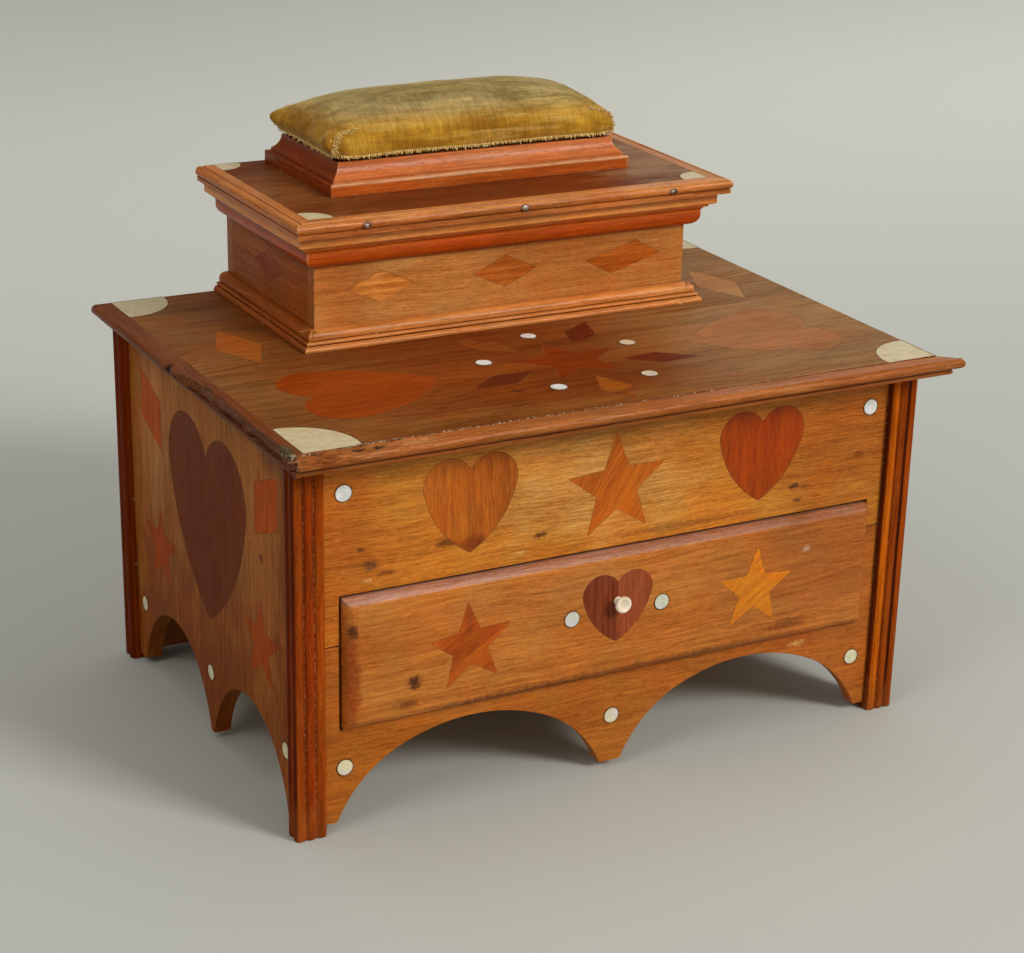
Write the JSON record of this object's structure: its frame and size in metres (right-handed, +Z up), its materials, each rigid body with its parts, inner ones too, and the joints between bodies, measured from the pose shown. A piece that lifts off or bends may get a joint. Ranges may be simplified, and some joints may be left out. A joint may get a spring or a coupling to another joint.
{
  "type": "sewing box",
  "caption": "Inlaid wooden sewing box in two tiers: a case with a drawer and a lidded well, a small lidded box on its lid, and a velvet pincushion on top.",
  "frame": {"origin": "on the ground, below the middle of the whole box", "axes": "+X to the right along the front, +Y to the back, +Z up"},
  "size_m": [0.371, 0.2719, 0.3168],
  "materials": {
    "wood_dark": "oiled, dark red-brown",
    "wood_red": "oiled, reddish",
    "wood_brown": "oiled, brown",
    "wood_light": "oiled, light orange",
    "wood_inside": "bare, pale",
    "bone": "polished bone",
    "pearl": "mother-of-pearl",
    "brass": "dull",
    "nail": "dull",
    "velvet": "worn velvet pile"
  },
  "bodies": {
    "case": {"front_upper_board": "wood_brown", "front_apron_board": "wood_brown", "left_side_panel": "wood_brown", "right_side_panel": "wood_brown", "back_panel": "wood_brown", "post_front_left": "wood_dark", "post_front_right": "wood_dark", "post_back_left": "wood_dark", "post_back_right": "wood_dark", "bottom_board": "wood_inside", "well_floor": "wood_inside", "drawer_guides": "wood_inside", "front_heart_inlays": "wood_red", "front_star_inlay": "wood_dark", "side_heart_inlays": "wood_dark", "side_star_inlays": "wood_dark", "side_lozenge_inlays": "wood_red", "case_pearls": "pearl", "lid_hinge_case_leaves": "brass", "lid_hinge_pins": "brass"},
    "drawer": {"drawer_front": "wood_brown", "drawer_left_side": "wood_inside", "drawer_right_side": "wood_inside", "drawer_back": "wood_inside", "drawer_bottom": "wood_inside", "drawer_knob": "bone", "drawer_heart_inlay": "wood_dark", "drawer_star_inlays": "wood_red", "drawer_pearls": "pearl"},
    "main_lid": {"lid_board": "wood_brown", "lid_front_moulding": "wood_red", "lid_left_moulding": "wood_red", "lid_bone_corners": "bone", "lid_heart_inlays": "wood_red", "lid_star_inlay": "wood_red", "lid_rhombus_inlays": "wood_dark", "lid_pearls": "pearl", "upper_front_wall": "wood_brown", "upper_back_wall": "wood_brown", "upper_left_wall": "wood_brown", "upper_right_wall": "wood_brown", "upper_diamond_inlays": "wood_light", "base_front_moulding": "wood_red", "base_end_mouldings": "wood_red", "cornice_front_moulding": "wood_red", "cornice_end_mouldings": "wood_red", "lid_hinge_lid_leaves": "brass", "upper_hinge_wall_leaves": "brass", "upper_hinge_pins": "brass"},
    "upper_lid": {"upper_lid_board": "wood_brown", "upper_lid_front_moulding": "wood_light", "upper_lid_end_mouldings": "wood_light", "upper_lid_bone_corners": "bone", "upper_lid_nails": "nail", "plinth_block": "wood_inside", "plinth_long_mouldings": "wood_red", "plinth_end_mouldings": "wood_red", "pincushion": "velvet", "upper_hinge_lid_leaves": "brass"}
  },
  "joints": [
    {"name": "drawer_slide", "type": "slide", "parent": "case", "child": "drawer", "axis": [0, -1, 0], "range_m": [0, 0.16]},
    {"name": "main_lid_hinge", "type": "hinge", "parent": "case", "child": "main_lid", "pos_m": [0, 0.13365, 0.194], "axis": [-1, 0, 0], "range_deg": [0, 100]},
    {"name": "upper_lid_hinge", "type": "hinge", "parent": "main_lid", "child": "upper_lid", "pos_m": [0, 0.13365, 0.2645], "axis": [-1, 0, 0], "range_deg": [0, 100]}
  ]
}
